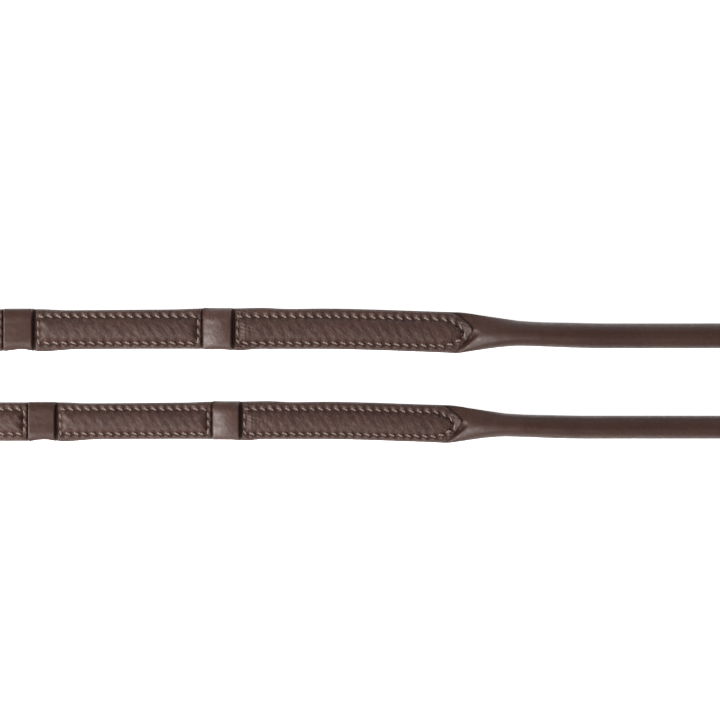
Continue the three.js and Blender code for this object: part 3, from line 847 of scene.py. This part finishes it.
def billet(rein):
    made = []
    neck_x = [276.2, 272, 268, 264, 260, 257, 254.5]
    half = [5.5, 5.6, 6.0, 6.45, 6.8, 7.0, 7.0]
    low = [1.4, 1.4, 1.45, 1.5, 1.5, 1.5, 1.5]
    top = [12.4, 11.9, 10.3, 8.2, 6.0, 4.5, 4.1]
    power = [2, 2.05, 2.2, 2.5, 3, 3.8, 4.5]
    smooth = [curve_through(neck_x[::-1], v[::-1]) for v in (half, low, top, power)]
    rings = []
    for x in np.linspace(276.2, 254.5, 30):
        h, b, t, p = (float(f(x)) for f in smooth)
        rings.append([(x, y, z) for y, z in section(0, h, b, t, p)])
    neck = at_billet(rein, loft(f"{rein.name}_billet_neck_cover", rings, SMOOTH, rein))
    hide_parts(f"{rein.name}_billet_neck")
    made.append(neck)

    line = resample(
        [(255.4, BILLET_LOW), (240, BILLET_LOW), (220, BILLET_LOW), (200, BILLET_LOW),
         *arc(EYE_X, BILLET_LOW + EYE_RADIUS, EYE_RADIUS, -90, -270, 9),
         (191.8, 14.2), (195.2, 11.2), (198.6, 8.4), (203, 6.8), (208, BILLET_HIGH),
         (222, BILLET_HIGH), (236, BILLET_HIGH), (252, BILLET_HIGH)], 0.9)
    along = tangents(line)
    rings = []
    for i, ((x, z), (dx, dz)) in enumerate(zip(line, along)):
        left = (len(line) - 1 - i) * 0.9
        flat = section(0, BILLET_HALF * pointed(left, 7.0), -1.25, 1.25, 4.5)
        rings.append([(x + dz * v, y, z - dx * v) for y, v in flat])
    strap = loft(f"{rein.name}_billet", rings, SMOOTH, rein)
    hole = [[(STUD_X + 2.5 * math.cos(a), 2.5 * math.sin(a), z)
             for a in np.linspace(0, 2 * math.pi, 24, endpoint=False)] for z in (4.6, 9.5)]
    cut_out(strap, [loft("hole", hole, SMOOTH, rein)])
    at_billet(rein, strap)
    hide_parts(f"{rein.name}_billet_strap")
    made.append(strap)

    profile = [(0.01, 4.35), (4.0, 4.35), (4.0, 4.85), (2.0, 4.95), (1.9, 7.4), (2.2, 8.0),
               (3.3, 8.3), (3.6, 8.8), (3.55, 9.5), (3.1, 10.2), (2.2, 10.65), (1.1, 10.85),
               (0.01, 10.9)]
    rings = [[(STUD_X + r * math.cos(a), r * math.sin(a), z)
              for a in np.linspace(0, 2 * math.pi, 32, endpoint=False)] for r, z in profile]
    stud = at_billet(rein, loft(f"{rein.name}_stud", rings, STEEL, rein, sharp=45))
    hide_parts(f"{rein.name}_hook_stud")
    made.append(stud)

    keeper = at_billet(rein, band(f"{rein.name}_billet_keeper", rein, 243, 243 + KEEPER_LENGTH,
                                  *BILLET_KEEPER, SMOOTH))
    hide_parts(f"{rein.name}_billet_fixed_keeper")
    made.append(keeper)
    for piece in made:
        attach(piece, "reins")

    runner = at_billet(rein, band(f"{rein.name}_billet_runner_loop", rein, 229,
                                  229 + KEEPER_LENGTH, *BILLET_KEEPER, SMOOTH))
    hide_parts(f"{rein.name}_billet_runner_keeper")
    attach(runner, f"{rein.name}_billet_runner")

    return [*made, runner]


def fold_tie():
    rein = REINS["left"]
    tie = band("tie", rein, 319.5, 327.5, -33.9, 24.1, 0.05, 13.75, 1.0, SMOOTH, 5.5)
    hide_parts("fold_tie")
    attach(tie, "reins")


def rein_pieces(rein):
    line, rolled = rolled_rein(rein)
    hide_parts(f"{rein.name}_rolled_leather", f"{rein.name}_rolled_core")
    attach(rolled, "reins")
    on_cord = billet(rein)
    route = rein.place(line)
    for index in range(len(PANELS)):
        panel(rein, index)
    for index in range(len(STOPS)):
        hand_stop(rein, index)


for rein in REINS.values():
    rein_pieces(rein)
fold_tie()


# ---- buckle -------------------------------------------------------------------------------

def buckle(rein):
    bar_x, bar_z = BAR
    corner, half_y, far_x = 3.0, 11.5, -503.0
    line = []
    near, far, side = bar_x - corner, far_x + corner, half_y - corner
    for cx, cy, start in ((near, side, 0), (far, side, 90), (far, -side, 180), (near, -side, 270)):
        line += arc(cx, cy, corner, start, start + 90, 8)
    line = np.array([(x, y, bar_z) for x, y in line])
    dense = []
    for a, b in zip(line, np.roll(line, -1, axis=0)):
        count = max(1, int(np.linalg.norm(b - a) / 1.2))
        dense += [a + (b - a) * k / count for k in range(count)]
    line = np.array(dense)
    ahead = np.roll(line, -1, axis=0) - np.roll(line, 1, axis=0)
    ahead /= np.linalg.norm(ahead, axis=1)[:, None]
    angles = np.linspace(0, 2 * math.pi, 20, endpoint=False)
    rings = []
    for p, d in zip(line, ahead):
        aside = np.array([-d[1], d[0], 0.0])
        on_bar = p[0] > bar_x - 0.5 and abs(p[1]) < half_y - corner
        wide, tall = (1.7, 1.7) if on_bar else (1.75, 1.55)
        rings.append(p + np.outer(wide * np.cos(angles), aside)
                     + np.outer(tall * np.sin(angles), (0, 0, 1)))
    rings = np.array(rings)
    points = rein.place(rings.reshape(-1, 3))
    hoop = new_mesh("buckle_frame_ring", points, grid_faces(len(rings), 20, 0, True), STEEL, 60)
    fix_normals(hoop)
    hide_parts("buckle_frame")
    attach(hoop, "buckle")

    ring = []
    for a in np.linspace(0, 2 * math.pi, 28, endpoint=False):
        out = np.array([math.cos(a), 0, math.sin(a)])
        middle = np.array([bar_x, 0, bar_z]) + out * 2.75
        ring.append(middle + np.outer(0.72 * np.cos(angles), out)
                    + np.outer(1.55 * np.sin(angles), (0, 1, 0)))
    points = rein.place(np.array(ring).reshape(-1, 3))
    eye = new_mesh("tongue_eye", points, grid_faces(len(ring), 20, 0, True), STEEL, 60)
    line = resample([(-482.4, 8.4), (-485.5, 8.75), (-491, 8.75), (-498, 8.75), (-503, 8.7),
                     (-506, 8.2)], 0.7)
    along = tangents(line)
    shank = []
    for i, ((x, z), (dx, dz)) in enumerate(zip(line, along)):
        t = i / (len(line) - 1)
        wide = 1.55 - 0.55 * t
        tall = 0.95 - 0.2 * t
        tip = math.sqrt(max(1 - max(0.0, (t - 0.93) / 0.07) ** 2, 0.02))
        shank.append([(x + dz * v * tip, y * tip, z - dx * v * tip)
                      for y, v in zip(wide * np.cos(angles), tall * np.sin(angles))])
    tongue = join("buckle_tongue_pin", [eye, loft("tongue_shank", shank, STEEL, rein)], 60)
    fix_normals(tongue)
    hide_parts("buckle_tongue")
    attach(tongue, "tongue")

    for name, node, start, body in (
            ("buckle_keeper", "buckle_fixed_keeper", -464, "left_tail"),
            ("buckle_runner_loop", "buckle_runner_keeper", -451, "buckle_runner")):
        keeper = band(name, rein, start, start + KEEPER_LENGTH, 0, 9.4, 0.1, 8.2, 1.1, SMOOTH)
        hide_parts(node)
        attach(keeper, body)


buckle(REINS["left"])


# ---- floor and light ----------------------------------------------------------------------

def floor():
    n = Nodes("pale_floor")
    n.finish((0.93, 0.93, 0.93), 0.9, Emission_Color=(1, 1, 1, 1), Emission_Strength=0.82)
    size = 6.0
    mesh = bpy.data.meshes.new("floor")
    mesh.from_pydata([(-size, -size, 0), (size, -size, 0), (size, size, 0), (-size, size, 0)],
                     [], [(0, 1, 2, 3)])
    mesh.materials.append(n.material)
    obj = bpy.data.objects.new("floor", mesh)
    bpy.context.scene.collection.objects.link(obj)


def area_light(name, where, size, watts, color, target):
    data = bpy.data.lights.new(name, "AREA")
    data.shape = "RECTANGLE"
    data.size, data.size_y = size
    data.energy = watts
    data.color = color
    obj = bpy.data.objects.new(name, data)
    obj.location = where
    direction = Vector(target) - Vector(where)
    obj.rotation_euler = direction.to_track_quat("-Z", "Y").to_euler()
    bpy.context.scene.collection.objects.link(obj)


def lights():
    middle = (REINS["left"].x, REINS["left"].y - 0.02, 0)
    world = bpy.data.worlds.new("studio")
    world.use_nodes = True
    background = world.node_tree.nodes["Background"]
    background.inputs["Color"].default_value = (0.98, 0.985, 1.0, 1)
    # pale near the horizon, dimmer overhead
    nodes, links = world.node_tree.nodes, world.node_tree.links
    direction = nodes.new("ShaderNodeSeparateXYZ")
    links.new(nodes.new("ShaderNodeTexCoord").outputs["Generated"], direction.inputs[0])
    fade = nodes.new("ShaderNodeMapRange")
    links.new(direction.outputs["Z"], fade.inputs["Value"])
    for key, number in (("From Min", 0.15), ("From Max", 0.3), ("To Min", 1.0), ("To Max", 0.28)):
        fade.inputs[key].default_value = number
    links.new(fade.outputs["Result"], background.inputs["Strength"])
    bpy.context.scene.world = world
    x, y = middle[0], middle[1]
    area_light("key", (x - 0.75, y - 0.2, 0.56), (0.45, 0.55), 11.8, (1.0, 0.97, 0.94), middle)
    area_light("front", (x - 0.45, y - 0.8, 0.8), (0.7, 0.3), 7.5, (1.0, 0.97, 0.94), middle)
    area_light("back", (x + 0.4, y + 1.3, 0.9), (1.6, 0.7), 3.5, (0.95, 0.97, 1.0), middle)


floor()
lights()
bpy.context.scene.view_settings.view_transform = "Standard"
